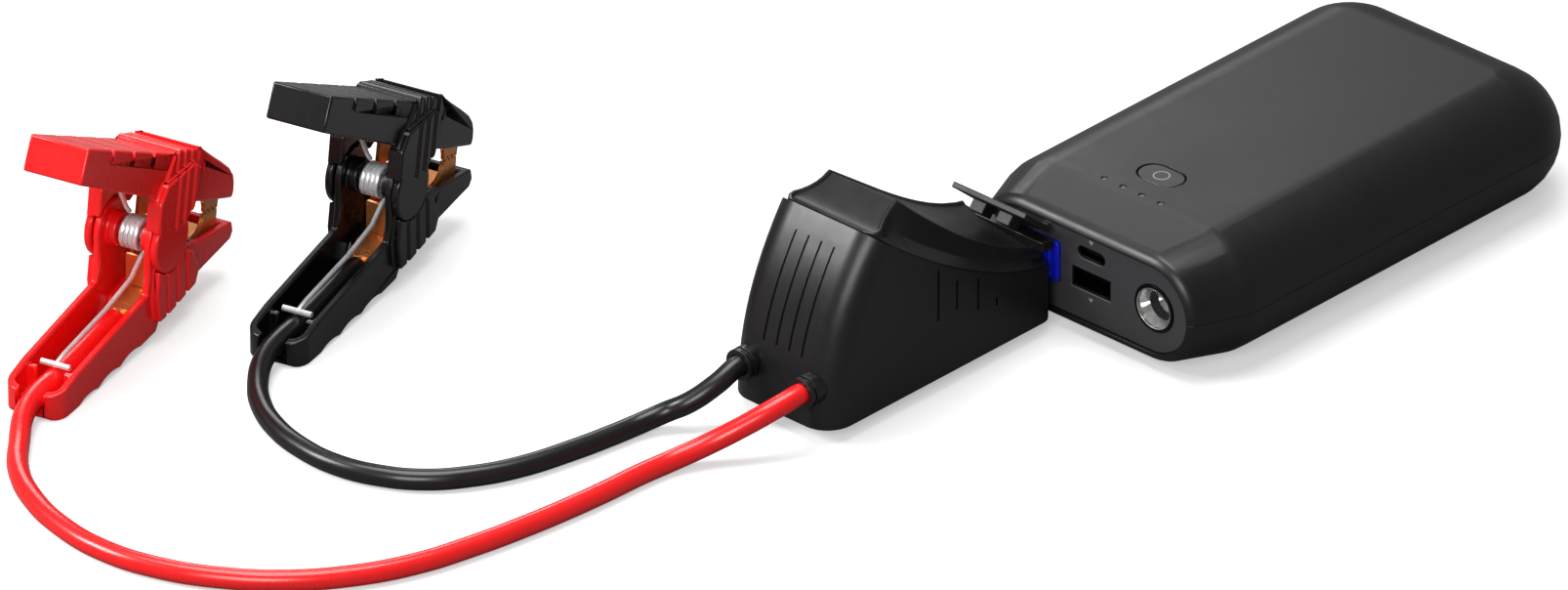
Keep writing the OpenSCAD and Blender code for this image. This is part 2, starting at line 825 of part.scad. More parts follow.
// How much higher the far side of the rim is
function tilt(s) = s < deck_crest ? deck_tilt * (1 - pow(s / deck_crest, 4)) : 0;

// One side of the deck's cross-section, from the foot to the middle: side is 1 or -1
function half_section(s, side) =
    let (foot = foot_half(s),
        rim = rim_half(s),
        low = wall_line(s) + slip,
        top = deck_top(s) + (side < 0 ? tilt(s) : 0),
        lip = low + deck_lip,
        rise = top - lip)
    [
        [side * foot, -s, low],
        [side * foot, -s, lip],
        [side * (rim + 0.3 * (foot - rim)), -s, lip + 0.28 * rise],
        [side * (rim + 0.08 * (foot - rim)), -s, lip + 0.65 * rise],
        [side * rim, -s, top - 0.2 * min(rise, 2)],
        [side * (rim - 0.4 * deck_edge), -s, top],
        [side * (rim - deck_edge), -s, top],
        [side * (rim - 1.6 * deck_edge), -s, top - deck_dip * min(rise / 2, 1)]
    ];

// Half of the hollow's cross-section
function half_hollow(s, side) =
    let (rim = rim_half(s) - module_wall,
        low = wall_line(s),
        top = deck_top(s) + (side < 0 ? tilt(s) : 0) - module_wall - deck_dip)
    [[side * rim, -s, low - 3], [side * rim, -s, max(top, low + 0.4)]];

// Both halves of a cross-section in one ring
function ring_of(near, far_side) = concat(near, [for (i = [len(far_side) - 1:-1:0]) far_side[i]]);

// A body through cross-sections that all have the same number of points
module loft(sections) {
    n = len(sections[0]);
    last = len(sections) - 1;
    walls = [for (k = [0:last - 1], j = [0:n - 1])
        let (a = k * n + j, b = k * n + (j + 1) % n)
        each [[a, b + n, b], [a, a + n, b + n]]];
    polyhedron([for (part = sections) each part],
        concat([[for (j = [0:n - 1]) j]], walls, [[for (j = [n - 1:-1:0]) last * n + j]]));
}

deck_s = concat(
    [for (i = [-1:3]) deck_start + i * (front_corner - deck_start) / 3.3],
    [for (i = [1:10]) front_corner + i * (deck_crest - front_corner) / 10],
    [for (i = [1:8]) deck_crest + (deck_end - deck_crest) * (1 - pow(1 - i / 8, 1.4))]);

module module_top_cover() {
    color(plastic_black) at_module() difference() {
        loft([for (s = deck_s) ring_of(half_section(s, 1), half_section(s, -1))]);
        loft([for (s = deck_room_s) ring_of(half_hollow(s, 1), half_hollow(s, -1))]);
        plug_room();
        translate([-module_w, -deck_start, 0]) cube([2 * module_w, 5, 2 * module_h]);
    }
}

deck_room_s = [for (i = [0:12]) front_corner + (deck_end - 5 - front_corner) * i / 12];

// Room for the plug in the plug end
module plug_room() {
    face_block(plug_x + (tail_side - nose_w / 2) / 2, plug_rise, tail_w + 2 * fit, tail_h + 2 * fit, -13, 1);
}

// The opening of the body below the top cover
module deck_opening() {
    half = module_w / 2 - ledge_w;
    translate([-half, 4 - deck_end, 2 * base_h]) cube([2 * half, deck_end - 7, 2 * module_h]);
}

// Upright grooves in the cable end
module end_grooves() {
    low = cable_rise + 7;
    high = module_high - 5;
    heights = [for (i = [0:curve_steps]) low + (high - low) * i / curve_steps];
    for (i = [-1.5:1:1.5])
        translate([i * groove_pitch, 0, 0]) side_slab(groove_w, concat(
            [for (z = heights) [-end_reach(z) + groove_t, z]],
            [[-module_l - 2, high], [-module_l - 2, low]]));
}

// Short upright grooves in the +X side wall
module side_grooves() {
    for (groove = side_groove_at)
        translate([module_w / 2 - side_groove_t, -groove[0], groove[1]])
            cube([2, groove_w, groove[2] - groove[1]]);
}

module module_body() {
    color(plastic_black) at_module() difference() {
        union() {
            difference() {
                module_form(0, base_h);
                module_form(module_wall, base_h - 1);
            }
            at_module_screws() translate([0, 0, base_h])
                cylinder(r = module_boss_r, h = module_boss_h, $fn = 32);
        }
        deck_opening();
        end_grooves();
        side_grooves();
        at_module_screws() cylinder(r = module_screw_r + slip, h = base_h + module_boss_h - 0.4, $fn = 32);
        plug_room();
        for (x = cable_off) rod_y(x, cable_rise, grommet_r + slip, -module_l - 1, -module_l + 12);
    }
}

module module_base() {
    color(plastic_black) at_module() difference() {
        union() {
            difference() {
                module_form(0, 0);
                module_form(module_wall, module_wall);
                translate([-far / 2, -far / 2, base_h]) cube([far, far, far]);
            }
            at_module_screws() cylinder(r = module_boss_r, h = base_h, $fn = 32);
            for (x = [-7, 7], s = board_stand_s)
                translate([x, -s, 0]) cylinder(r = 1.6, h = module_board_z, $fn = 24);
        }
        at_module_screws() {
            translate([0, 0, -1]) cylinder(r = module_screw_r + fit, h = base_h + 2, $fn = 32);
            translate([0, 0, -1]) cylinder(r = module_head_r + fit, h = 1 + module_head_h, $fn = 32);
        }
    }
}

module module_screws() {
    color(steel) at_module() at_module_screws() {
        translate([0, 0, 0.2]) cylinder(r = module_head_r, h = module_head_h - 0.2, $fn = 32);
        translate([0, 0, 1]) cylinder(r = module_screw_r, h = base_h + module_boss_h - 1.6, $fn = 32);
    }
}

module module_circuit_board() {
    color("#1f5a35") at_module() {
        translate([-module_board_w / 2, -board_s[1], module_board_z])
            cube([module_board_w, board_s[1] - board_s[0], board_t]);
        for (i = [0:2])
            translate([-10 + 8 * i, -board_s[0] - 31, module_board_z + board_t]) cube([5, 7, 3]);
    }
}

module module_relay() {
    color(plastic_black) at_module() for (x = [-6.5, 6.5])
        translate([x - 6, -board_s[0] - 20, module_board_z + board_t]) cube([12, 17, 10.5]);
}

// The blue plug: a solid nose with a round well around each pin, and a narrower tail in the module
module plug_housing() {
    nose_tip = panel_front + nose_reach;
    neck_y = module_y + apart;
    tail_x = socket_x + (tail_side - nose_w / 2) / 2;
    stop_y = module_y - module_wall;
    color(plug_blue) difference() {
        union() {
            face_block(socket_x, socket_z, nose_w, nose_h, neck_y, nose_tip);
            face_block(tail_x, socket_z, tail_w, tail_h, module_y - 9, neck_y + 1);
            face_block(tail_x, socket_z - 0.6, tail_w, tail_h + 1.2, stop_y - 1.4, stop_y - slip);
        }
        at_contacts() {
            rod_y(0, 0, tail_pin_r + slip, module_y - 20, nose_tip);
            rod_y(0, 0, pin_d / 2 + slip, neck_y + 1, nose_tip + 1);
            rod_y(0, 0, tube_r + fit, tube_front - 0.6, nose_tip + 1);
        }
    }
}

module plug_pins() {
    color("#d8b25a") at_contacts() {
        rod_y(0, 0, pin_d / 2, module_y + apart + 1 + slip, pin_tip);
        rod_y(0, 0, tail_pin_r, module_y - 12, module_y + apart + 2);
    }
}

module cable_grommets() {
    color(plastic_black) at_module() for (x = cable_off) difference() {
        rod_y(x, cable_rise, grommet_r, -module_l - grommet_out, -module_l + 6);
        rod_y(x, cable_rise, cable_r + fit, -module_l - 10, -module_l + 10);
        difference() {
            rod_y(x, cable_rise, grommet_r + 1, -module_l - 1.6, -module_l - 1);
            rod_y(x, cable_rise, grommet_r - 0.6, -module_l - 2, -module_l);
        }
    }
}

module cable_lugs() {
    lug_z = module_board_z + board_t;
    color(copper) at_module() for (x = cable_off)
        translate([x - 2.8, cable_in_y - module_y, lug_z]) cube([5.6, 9, cable_rise + cable_r - lug_z]);
}

// ---------- Cables ----------

function unit(v) = v / norm(v);

// Direction of a route at its point k
function heading(route, k) = unit(route[min(k + 1, len(route) - 1)] - route[max(k - 1, 0)]);

// A ring of points around the route's point k; across is never along the route
function ring(route, k, r, sides, across) =
    let (t = heading(route, k), side = unit(cross(t, across)), up = cross(side, t))
    [for (j = [0:sides - 1])
        route[k] + r * (cos(360 * j / sides) * side + sin(360 * j / sides) * up)];

module tube(route, r, sides = 10, across = [0, 0, 1]) {
    rings = len(route);
    points = [for (k = [0:rings - 1]) each ring(route, k, r, sides, across)];
    walls = [for (k = [0:rings - 2], j = [0:sides - 1])
        let (a = k * sides + j, b = k * sides + (j + 1) % sides)
        each [[a, b, b + sides], [a, b + sides, a + sides]]];
    first = [for (j = [sides - 1:-1:0]) j];
    last = [for (j = [0:sides - 1]) (rings - 1) * sides + j];
    polyhedron(points, concat([first], walls, [last]));
}

module red_cable() {
    color(signal_red) tube(red_route, cable_r);
}

module black_cable() {
    color(plastic_black) tube(black_route, cable_r);
}

// ---------- Clamps: each lies along +X from the handle's end, with its hinge along Y ----------

module at_clamp(i) {
    translate([clamp_at[i][0], clamp_at[i][1], 0]) rotate([0, 0, clamp_turn]) children();
}

module at_hinge() {
    translate([hinge_d, 0, hinge_h]) children();
}

// The frame of the closed jaws: X runs along the mouth
module at_jaws() {
    at_hinge() rotate([0, jaw_tilt, 0]) children();
}

// An extrusion of a side view, w wide and centred
module clamp_slab(w, points) {
    translate([0, w / 2, 0]) rotate([90, 0, 0]) linear_extrude(w) polygon(points);
}

// A rod along the hinge at the hinge, from y0 to y1
module hinge_rod(r, y0, y1) {
    at_hinge() translate([0, y1, 0]) rotate([90, 0, 0]) cylinder(r = r, h = y1 - y0, $fn = 64);
}

// Side view of the lower handle and jaw
lower_side = concat(
    [[-end_out, 1.2], [1.2 - end_out, 0], [foot_l, 0], [flat_l, bottom_rise],
        [flat_l + 3, 6.4], [hinge_d + 12, 8.7],
        [jaw_end - 1.5, 10.6], [jaw_end, 12.4], [jaw_end - 0.6, 15.4], [hinge_d + 18, 18],
        [hinge_d + 8, hinge_h - 6.6]],
    arc([hinge_d, hinge_h], disc_r - 0.6, -50, 180, 12),
    [[hinge_d - 7.6, hinge_h - 7], [hinge_d - 9, hinge_h - 12.2], [9, 10], [-end_out, 7.2]]);

// Side view of the channel in the lower handle and jaw
lower_channel = [[-end_out, floor_t], [foot_l, floor_t], [flat_l - 1, floor_t + floor_rise], [flat_l + 2, 8.2],
    [hinge_d + 12, 10.4], [jaw_end - 3, 12.6], [jaw_end - 3, 60], [-end_out, 60]];

// A block with the plan view of the lower handle, whose end has round corners
module lower_plan(inset) {
    half = handle_w / 2 - inset;
    back = inset - end_out;
    r = end_r - inset;
    translate([0, 0, -1]) linear_extrude(far / 2) polygon(concat(
        [[jaw_end + 9, -half], [jaw_end + 9, half]],
        arc([back + r, half - r], r, 90, 180, 8),
        arc([back + r, r - half], r, 180, 270, 8)));
}

// Side view of the ribbed skirt below the hinge discs
skirt_side = [[flat_l - 1.5, 6.4], [flat_l + 3, 6.5], [hinge_d + 12, 8.8], [hinge_d + 14, 12.6],
    [hinge_d + 11, 19], [hinge_d + 5, 22], [hinge_d - 6, 22], [hinge_d - 7.5, 14]];

// Height of the lower handle's underside at d
function underside(d) = bottom_rise * max(d - foot_l, 0) / (flat_l - foot_l);

module lower_handle() {
    inner_w = handle_w - 2 * clamp_wall;
    difference() {
        union() {
            difference() {
                union() {
                    intersection() {
                        clamp_slab(handle_w, lower_side);
                        lower_plan(0);
                    }
                    clamp_slab(hinge_w - 0.4, skirt_side);
                }
                intersection() {
                    clamp_slab(inner_w, lower_channel);
                    lower_plan(clamp_wall);
                }
            }
            for (side = [-1, 1]) {
                // Gates beside the cable
                translate([8, side * (inner_w / 2 - 1.2) - 1.3, 1]) cube([1.6, 2.6, 7.6]);
                // Bosses inside the cheeks
                mirror([0, side < 0 ? 1 : 0, 0]) {
                    hinge_rod(coil_d / 2, coil_w / 2 + apart, handle_w / 2 - 0.1);
                }
            }
        }
        for (side = [0, 1]) mirror([0, side, 0]) {
            hinge_rod(disc_r + apart, handle_w / 2 + 0.15, hinge_w);
            for (d = [hinge_d - 3, hinge_d + 2, hinge_d + 7])
                translate([d, hinge_w / 2 - 1.1, 0]) cube([1.1, 2, hinge_h]);
        }
        hinge_rod(pivot_d / 2 + slip, -hinge_w, hinge_w);
        // Slot in the end for the cable
        translate([-end_out - 1, -entry_w / 2, entry_z]) cube([clamp_wall + 1.6, entry_w, 20]);
        // Finger grips along the underside
        for (d = [14, 25, 36])
            translate([d, handle_w, underside(d) + 0.9 - finger_r]) rotate([90, 0, 0])
                cylinder(r = finger_r, h = 2 * handle_w, $fn = 64);
    }
}

// Side view of the upper handle and jaw hood, from the hinge
grip_side = [[-42.2, 36.4], [-6.4, 15.4], [2, 10], [20, 1.4], [32, -3.6], [jaw_l - 0.6, -4.6],
    [jaw_l + 0.4, -3], [jaw_l + 0.7, -0.5], [jaw_l + 0.3, 1.8], [jaw_l - 1.6, 4.8], [30, 8.2],
    [25.6, 12], [19, 18], [7, 21.8], [-37.8, 45.1]];

// Side view of the hollow below the upper handle, from the hinge
grip_hollow = [[-40, 30], [-40, 34.5], [-36.6, 42.1], [7, 19.6], [18.4, 15.8], [25, 10.6],
    [29.8, 6.8], [jaw_l - 2, 1.6], [jaw_l - 1, -2], [jaw_l - 2, -14], [-8, -14], [-8, 8]];

// Side view of the ribbed band with the hinge discs, from the hinge
band_side = [[-1.5, 12], [-1.5, 15.5], [5, 22.2], [8, 22.8], [18.5, 17.8], [19.5, 14], [16, 8], [11.7, 4.2]];

// Side view of the outer cheeks with the hinge discs, from the hinge
cheek_side = concat(
    [[-6.9, 5], [-5.5, 13], [-1.5, 17], [13, 17], [16.5, 13], [11.7, 4.2]],
    arc([0, 0], disc_r, 20, -217, 24));

module upper_handle() {
    difference() {
        union() {
            at_hinge() clamp_slab(handle_w + 0.4, grip_side);
            at_hinge() difference() {
                clamp_slab(handle_w + 1.8, band_side);
                for (x = band_groove_x)
                    translate([x, -handle_w, 8]) rotate([0, 12, 0]) cube([1, 2 * handle_w, 20]);
            }
            at_hinge() clamp_slab(hinge_w, cheek_side);
        }
        at_hinge() clamp_slab(handle_w - 2 * clamp_wall, grip_hollow);
        hinge_rod(disc_r + apart, -disc_in, disc_in);
        hinge_rod(pivot_d / 2 + slip, -hinge_w / 2 + 0.8, hinge_w / 2 - 0.8);
        // Cross grooves on the grip, with short ends down its sides
        at_hinge() for (x = grip_groove_x) translate([x, 0, grip_top(x)]) rotate([0, grip_slope, 0]) {
            translate([0, -handle_w, -grip_groove_t]) cube([grip_groove_w, 2 * handle_w, 3]);
            for (side = [-1, 1])
                translate([0, side * (handle_w / 2 + 0.6) - 1, -grip_groove_l]) cube([grip_groove_w, 2, 6]);
        }
        // Grooves between the ribs of the band
        at_hinge() for (side = [-1, 1], x = rib_groove_x)
            translate([x, side * (hinge_w / 2 + 1) - 1.8, 3]) rotate([0, 12, 0]) cube([1, 3.6, 30]);
    }
}

// Height of the grip's top at x from the hinge
function grip_top(x) = 45.1 - (x + 37.8) * tan(grip_slope);

// Zigzag of the jaw plates' teeth, lifted by q
function teeth(q) = [
    for (i = [0:2 * floor((jaw_reach - teeth_at) / tooth)])
        [teeth_at + i * tooth / 2, q + (i % 2 == 0 ? -tooth_h / 2 : tooth_h / 2)]
];

module lower_jaw_plate() {
    cheek = concat(
        [[8.5, -0.2], [grip_p - grip_r, -0.2]],
        arc([grip_p, -0.2], grip_r, 180, 360, 12),
        teeth(-0.2),
        [[jaw_reach, -6.9], [15.4, -13.5], [8.5, -15.9]]);
    strip = [[8.5, -15.9], [15.4, -13.5], [jaw_reach, -7.5], [jaw_reach, -6.2], [8.5, -14.5]];
    color(copper) {
        at_jaws() {
            for (side = [-1, 1])
                translate([0, side * (plate_y + jaw_t / 2), 0]) clamp_slab(jaw_t, cheek);
            clamp_slab(2 * plate_y + jaw_t, strip);
        }
        clamp_slab(2 * plate_y,
            [[flat_l + 2, 8.4], [flat_l + 12, 9.9], [flat_l + 12, 11.1], [flat_l + 1.8, 9.6]]);
        translate([hinge_d - 0.5, -3, 9.3]) cube([1, 6, 10.9]);
    }
}

module upper_jaw_plate() {
    cheek = concat(
        [[9.2, 0.2], [grip_p - grip_r, 0.2]],
        arc([grip_p, 0.2], grip_r, 180, 0, 12),
        teeth(0.25),
        [[jaw_reach, 2], [jaw_reach - 0.6, 6.6], [jaw_reach - 2, 8.6], [22, 15.2], [14.6, 18.6], [9.2, 15]]);
    strip = [[14.6, 18.6], [22, 15.2], [jaw_reach - 2, 8.6], [jaw_reach - 2.6, 7.4], [21.4, 13.9],
        [14, 17.2]];
    color(copper) at_jaws() {
        for (side = [-1, 1])
            translate([0, side * (plate_y + jaw_t / 2), 0]) clamp_slab(jaw_t, cheek);
        clamp_slab(2 * plate_y + jaw_t, strip);
    }
}

module hinge_pin() {
    color(steel) hinge_rod(pivot_d / 2, -hinge_w / 2 + 0.9, hinge_w / 2 - 0.9);
}

// Path of the spring's wire: along the handle, then around the hinge
spring_path = concat(
    [[bar_d, 0, bar_h], [15, -0.3, 10], [35, -1.2, 13.4], [hinge_d - 6, -1.8, hinge_h - 10.2],
        [hinge_d - 1, -2, hinge_h - 6.1]],
    [for (i = [0:12 * coil_turns])
        let (a = -50 + 30 * i, r = (coil_d - wire_d) / 2)
        [hinge_d + r * cos(a), (i / 12 - coil_turns / 2) * coil_pitch, hinge_h + r * sin(a)]]);

module spring() {
    color(steel) {
        tube(spring_path, wire_d / 2, 8, [0, 1, 0]);
        translate([bar_d, bar_l / 2, bar_h]) rotate([90, 0, 0]) cylinder(r = bar_r, h = bar_l, $fn = 24);
    }
}

// The spring's other end, which turns with the upper handle
spring_arm_path = [[hinge_d - 0.4, 1.6, hinge_h + 5.9], [hinge_d - 2, 1.6, hinge_h + 8],
    [hinge_d - 5, 1.6, hinge_h + 14], [hinge_d - 8, 1.6, hinge_h + 26.4]];

module spring_arm() {
    color(steel) tube(spring_arm_path, wire_d / 2, 8, [0, 1, 0]);
}

module cable_crimp() {
    color(copper) {
        translate([cable_end_d + 0.2, 0, cable_end_h]) rotate([0, 90, 0])
            cylinder(r = cable_r + 0.1, h = 3.8, $fn = 32);
        clamp_slab(6, [[flat_l - 5, 8.4], [flat_l - 1.5, 8.7], [flat_l + 1.6, 9.75], [flat_l + 4.2, 10.3],
            [flat_l + 4.2, 11.3], [flat_l - 2, 9.7], [flat_l - 5, 9.7]]);
    }
}

module red_lower_handle() { color(signal_red) at_clamp(0) lower_handle(); }
module red_lower_jaw_plate() { at_clamp(0) lower_jaw_plate(); }
module red_hinge_pin() { at_clamp(0) hinge_pin(); }
module red_spring() { at_clamp(0) spring(); }
module red_cable_crimp() { at_clamp(0) cable_crimp(); }
module red_upper_handle() { color(signal_red) at_clamp(0) upper_handle(); }
module red_upper_jaw_plate() { at_clamp(0) upper_jaw_plate(); }
module red_spring_arm() { at_clamp(0) spring_arm(); }
module black_lower_handle() { color(plastic_black) at_clamp(1) lower_handle(); }
module black_lower_jaw_plate() { at_clamp(1) lower_jaw_plate(); }
module black_hinge_pin() { at_clamp(1) hinge_pin(); }
module black_spring() { at_clamp(1) spring(); }
module black_cable_crimp() { at_clamp(1) cable_crimp(); }
module black_upper_handle() { color(plastic_black) at_clamp(1) upper_handle(); }
module black_upper_jaw_plate() { at_clamp(1) upper_jaw_plate(); }
module black_spring_arm() { at_clamp(1) spring_arm(); }

bottom_shell();
top_shell();
front_panel();
battery_cells();
cell_foam_pad();
main_circuit_board();
board_screws();
button_switch();
led_light_pipes();
torch_reflector();
torch_lens();
torch_led();
usb_a_socket();
usb_c_socket();
output_socket_housing();
output_socket_contacts();
shell_screws();
cover_hinge_pin();
power_button();
socket_cover();
module_body();
module_base();
module_top_cover();
module_circuit_board();
module_relay();
module_screws();
plug_housing();
plug_pins();
cable_grommets();
cable_lugs();
red_cable();
black_cable();
red_lower_handle();
red_lower_jaw_plate();
red_hinge_pin();
red_spring();
red_cable_crimp();
red_upper_handle();
red_upper_jaw_plate();
red_spring_arm();
black_lower_handle();
black_lower_jaw_plate();
black_hinge_pin();
black_spring();
black_cable_crimp();
black_upper_handle();
black_upper_jaw_plate();
black_spring_arm();
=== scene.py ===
import bpy
import bmesh
import json
from math import radians
from mathutils import Matrix, Vector


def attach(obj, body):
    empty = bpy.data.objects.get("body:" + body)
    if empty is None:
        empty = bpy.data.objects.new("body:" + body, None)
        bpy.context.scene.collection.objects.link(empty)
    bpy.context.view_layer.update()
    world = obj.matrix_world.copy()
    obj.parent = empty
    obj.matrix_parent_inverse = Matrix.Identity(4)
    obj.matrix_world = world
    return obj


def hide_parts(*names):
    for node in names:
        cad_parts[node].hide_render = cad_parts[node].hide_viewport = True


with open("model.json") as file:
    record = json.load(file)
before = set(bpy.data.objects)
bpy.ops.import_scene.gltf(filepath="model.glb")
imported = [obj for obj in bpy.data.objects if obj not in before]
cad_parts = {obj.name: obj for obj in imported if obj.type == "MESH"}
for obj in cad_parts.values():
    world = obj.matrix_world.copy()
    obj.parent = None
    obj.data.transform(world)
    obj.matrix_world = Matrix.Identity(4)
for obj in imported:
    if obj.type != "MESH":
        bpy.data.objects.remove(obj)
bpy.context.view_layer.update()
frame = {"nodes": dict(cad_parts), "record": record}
mm = 0.001


def at(x, y, z):
    return Vector((x, y, z)) * mm


# the camera stands far off and has a long lens
cameraView = {
    "target": at(-88.1, -92.2, -13.3),
    "right": Vector((0.7314, 0.682, 0.0)),
    "up": Vector((-0.335, 0.359, 0.871)),
    "distance": 6.75,
    "lens": 600.0,
    "clip": (1, 30),
}
cameraData = bpy.data.cameras.new("camera")
camera = bpy.data.objects.new("camera", cameraData)
bpy.context.scene.collection.objects.link(camera)
cameraRight = cameraView["right"].normalized()
cameraBack = cameraRight.cross(cameraView["up"]).normalized()
cameraUp = cameraBack.cross(cameraRight)
cameraPlace = cameraView["target"] + cameraBack * cameraView["distance"]
cameraTurn = Matrix((cameraRight, cameraUp, cameraBack)).transposed().to_4x4()
camera.matrix_world = Matrix.Translation(cameraPlace) @ cameraTurn
cameraData.lens = cameraView["lens"]
cameraData.clip_start, cameraData.clip_end = cameraView["clip"]
bpy.context.scene.camera = camera
print("camera in place")

# the cables follow the same points as the solids do, in millimetres
cables = {
    "width": 5.66,
    "sectionSteps": 5,
    "routeSteps": 6,      # from one point to the next
    "redRoute": [
        (-16, -148, 14.9), (-16, -155, 14.9), (-16, -164, 14.9), (-17.4, -171, 13.4),
        (-21.6, -179, 9.6), (-27, -187, 5.4), (-30.6, -195.5, 3.2), (-32, -206, 2.9),
        (-32.5, -218, 2.9), (-33.5, -231, 2.9), (-35.2, -245, 2.9), (-38, -261, 2.9),
        (-42.5, -278, 2.9), (-50, -293, 2.9), (-60.5, -306, 2.9), (-74, -316.5, 2.9),
        (-89, -323.5, 2.9), (-105, -326.5, 2.9), (-121, -325, 2.9), (-136, -320, 2.9),
        (-149, -312, 2.9), (-159, -301.5, 3.1), (-166.5, -292, 4.3), (-170.5, -283, 5),
        (-172.6, -275, 5), (-176.5, -259.8, 5.9), (-179.5, -248.2, 6.8), (-180.4, -244.3, 6.8)],
    "blackRoute": [
        (-37.6, -148, 14.9), (-37.6, -155, 14.9), (-37.6, -164, 14.9), (-38.4, -170.5, 12.2),
        (-42, -177, 8), (-46.6, -181, 5), (-49.6, -187.5, 3.2), (-51, -196, 2.9),
        (-53, -208, 2.9), (-57, -224, 2.9), (-62.5, -235.5, 2.9), (-70, -245, 2.9),
        (-80, -251.5, 2.9), (-92, -255, 2.9), (-104, -254.8, 2.9), (-116, -251.8, 2.9),
        (-127, -246, 2.9), (-135.5, -238.5, 3.1), (-141.5, -230, 4.3), (-144.5, -221.1, 5),
        (-146.6, -213, 5), (-150.5, -197.8, 5.9), (-153.5, -186.2, 6.8), (-154.4, -182.3, 6.8)],
}


def makeCable(name, route):
    line = bpy.data.curves.new(name, "CURVE")
    line.dimensions = "3D"
    line.bevel_depth = 1  # the points' own radius gives the width
    line.bevel_resolution = cables["sectionSteps"]
    line.resolution_u = cables["routeSteps"]
    line.use_fill_caps = True
    spline = line.splines.new("BEZIER")
    spline.bezier_points.add(len(route) - 1)
    for knot, place in zip(spline.bezier_points, route):
        knot.co = at(*place)
        knot.radius = cables["width"] / 2 * mm
        knot.handle_left_type = knot.handle_right_type = "AUTO"
    piece = bpy.data.objects.new(name, line)
    bpy.context.scene.collection.objects.link(piece)
    return piece


cablePieces = {}
for colour in ("red", "black"):
    route = cables[colour + "Route"]
    cable = makeCable(colour + "Cable", route)
    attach(cable, "lead_set")
    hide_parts(colour + "_cable")
    cablePieces[colour] = cable
print("cables laid")


class Sum:  # a node's output, which makes Math nodes where it stands in a sum
    def __init__(self, finish, socket):
        self.finish, self.socket = finish, socket

    def work(self, operation, *terms):
        node = self.finish.tree.nodes.new("ShaderNodeMath")
        node.operation = operation
        for place, term in enumerate(terms):
            self.finish.feed(node.inputs[place], term)
        return Sum(self.finish, node.outputs[0])

    def __add__(self, other):
        return self.work("ADD", self, other)

    def __sub__(self, other):
        return self.work("SUBTRACT", self, other)

    def __rsub__(self, other):
        return self.work("SUBTRACT", other, self)

    def __mul__(self, other):
        return self.work("MULTIPLY", self, other)

    def __gt__(self, other):
        return self.work("GREATER_THAN", self, other)

    def __lt__(self, other):
        return self.work("LESS_THAN", self, other)

    def __abs__(self):
        return self.work("ABSOLUTE", self)

    __radd__ = __add__
    __rmul__ = __mul__


class Finish:  # a material that is made of shader nodes
    def __init__(self, name):
        self.material = bpy.data.materials.new(name)
        self.material.use_nodes = True
        self.tree = self.material.node_tree
        self.tree.nodes.clear()

    def feed(self, socket, value):
        if isinstance(value, Sum):
            self.tree.links.new(value.socket, socket)
        else:
            socket.default_value = value

    def add(self, kind, settings=(), sockets=(), out=0):
        node = self.tree.nodes.new("ShaderNode" + kind)
        for key, value in dict(settings).items():
            setattr(node, key, value)
        for key, value in dict(sockets).items():
            self.feed(node.inputs[key], value)
        return Sum(self, node.outputs[out])

    def mix(self, share, first, second):  # sockets 0, 6 and 7 and output 2 are those for colours
        return self.add("Mix", {"data_type": "RGBA"}, {0: share, 6: first, 7: second}, 2)

    def place(self, stretch=(1, 1, 1)):
        spot = self.add("TexCoord", out="Object")
        return self.add("Mapping", {}, {"Vector": spot, "Scale": stretch})

    def noise(self, size, detail=2.0, stretch=(1, 1, 1)):
        spot = self.place(stretch)
        return self.add("TexNoise", {}, {"Vector": spot, "Scale": 1 / (size * mm), "Detail": detail})

    def away(self, centre, stretch):  # the way from a point, which is in mm
        spot = self.add("TexCoord", out="Object")
        start = self.add("VectorMath", {"operation": "SUBTRACT"}, {0: spot, 1: at(*centre)})
        return self.add("VectorMath", {"operation": "MULTIPLY"}, {0: start, 1: stretch})

    def along(self, vector, axis):
        return self.add("SeparateXYZ", {}, {0: vector}, axis)

    def reach(self, vector):  # a vector's length
        return self.add("VectorMath", {"operation": "LENGTH"}, {0: vector}, 1)

    def bump(self, height, depth, strength=1.0):
        return self.add("Bump", {}, {"Height": height, "Distance": depth * mm, "Strength": strength})

    def done(self, **sockets):
        names = {key.replace("_", " "): value for key, value in sockets.items()}
        shader = self.add("BsdfPrincipled", {}, names)
        out = self.tree.nodes.new("ShaderNodeOutputMaterial")
        self.tree.links.new(shader.socket, out.inputs["Surface"])
        return self.material


def linear(code):  # a colour code of the screen, as the linear colour that nodes take
    parts = [int(code[i:i + 2], 16) / 255 for i in (1, 3, 5)]
    return tuple(p / 12.92 if p <= 0.04045 else ((p + 0.055) / 1.055) ** 2.4 for p in parts) + (1.0,)


def colours(look):
    return linear(look["low"]), linear(look["high"])


